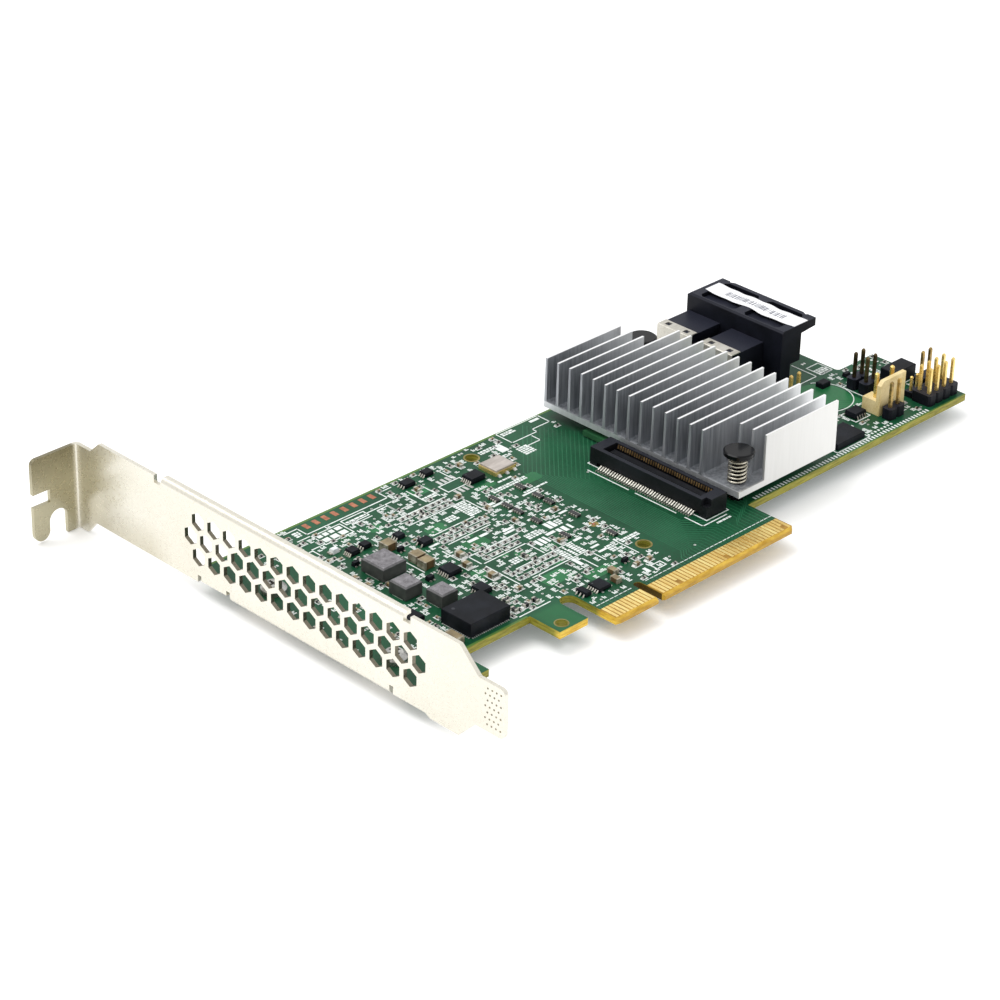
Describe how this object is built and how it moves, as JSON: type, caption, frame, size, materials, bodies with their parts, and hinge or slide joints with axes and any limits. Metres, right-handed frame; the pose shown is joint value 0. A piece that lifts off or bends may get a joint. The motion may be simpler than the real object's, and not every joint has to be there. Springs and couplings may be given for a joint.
{
  "type": "raid controller card",
  "caption": "Low-height expansion card with a bent slot bracket, finned heatsink, edge connector and a twin-port socket for drive cables.",
  "frame": {"origin": "bottom edge of the edge connector, at the centre of its key notch, in the plane of the component side", "axes": "+X along the card away from the slot bracket, +Y from the edge connector to the back edge, +Z out of the component side"},
  "size_m": [0.1807, 0.1202, 0.0215],
  "materials": {
    "solder_mask": "glossy green solder mask over copper",
    "contact_gold": "gold plated",
    "nickel_steel": "nickel-plated sheet",
    "screw_steel": "zinc plated",
    "aluminium": "extruded, matt",
    "black_nylon": "moulded",
    "black_spring": "blackened wire",
    "thermal_pad": "soft grey pad",
    "chip_epoxy": "moulded epoxy",
    "substrate": "resin laminate",
    "solder": "tin-plated",
    "connector_plastic": "glass-filled moulding",
    "shield_steel": "satin sheet",
    "label_paper": "white film",
    "post_metal": "dull plated post",
    "ivory_plastic": "moulded",
    "ferrite": "pressed iron powder",
    "oscillator_gold": "gold-plated ceramic",
    "tan_ceramic": "fired ceramic"
  },
  "bodies": {
    "root": {"board": "solder_mask", "edge_contacts": "contact_gold", "slot_bracket": "nickel_steel", "bracket_screws": "screw_steel", "heatsink": "aluminium", "push_pins": "black_nylon", "push_pin_springs": "black_spring", "thermal_pad": "thermal_pad", "processor_lid": "chip_epoxy", "processor_substrate": "substrate", "processor_solder": "solder", "sas_housing": "connector_plastic", "sas_shields": "shield_steel", "sas_contact_blocks": "connector_plastic", "sas_contacts": "contact_gold", "sas_label": "label_paper", "mezzanine_housing": "connector_plastic", "mezzanine_contacts": "contact_gold", "activity_header_base": "connector_plastic", "activity_header_pins": "post_metal", "fault_header_base": "connector_plastic", "fault_header_pins": "post_metal", "service_header_base": "connector_plastic", "service_header_pins": "post_metal", "jumper_header_base": "connector_plastic", "jumper_header_pins": "post_metal", "corner_header_base": "connector_plastic", "corner_header_pins": "contact_gold", "edge_header_base": "connector_plastic", "edge_header_pins": "post_metal", "locking_header_base": "ivory_plastic", "locking_header_pins": "contact_gold", "small_header_base": "connector_plastic", "small_header_pins": "contact_gold", "inductor_large": "ferrite", "inductor_middle": "ferrite", "inductor_small": "ferrite", "inductor_terminals": "solder", "power_module": "chip_epoxy", "buffer_chip": "chip_epoxy", "sensor_chip": "chip_epoxy", "supervisor_chip": "chip_epoxy", "driver_chip": "chip_epoxy", "regulator_chip": "chip_epoxy", "rail_chips": "chip_epoxy", "switch_chip": "chip_epoxy", "gate_chip": "chip_epoxy", "input_chip": "chip_epoxy", "logic_chip": "chip_epoxy", "clock_chip": "chip_epoxy", "flash_chip": "chip_epoxy", "monitor_chip": "chip_epoxy", "alarm_sounder": "chip_epoxy", "rear_regulator": "chip_epoxy", "chip_leads": "solder", "oscillator_base": "oscillator_gold", "oscillator_lid": "shield_steel", "capacitor_bodies": "tan_ceramic", "capacitor_ends": "solder", "cache_chips": "chip_epoxy"}
  },
  "joints": []
}
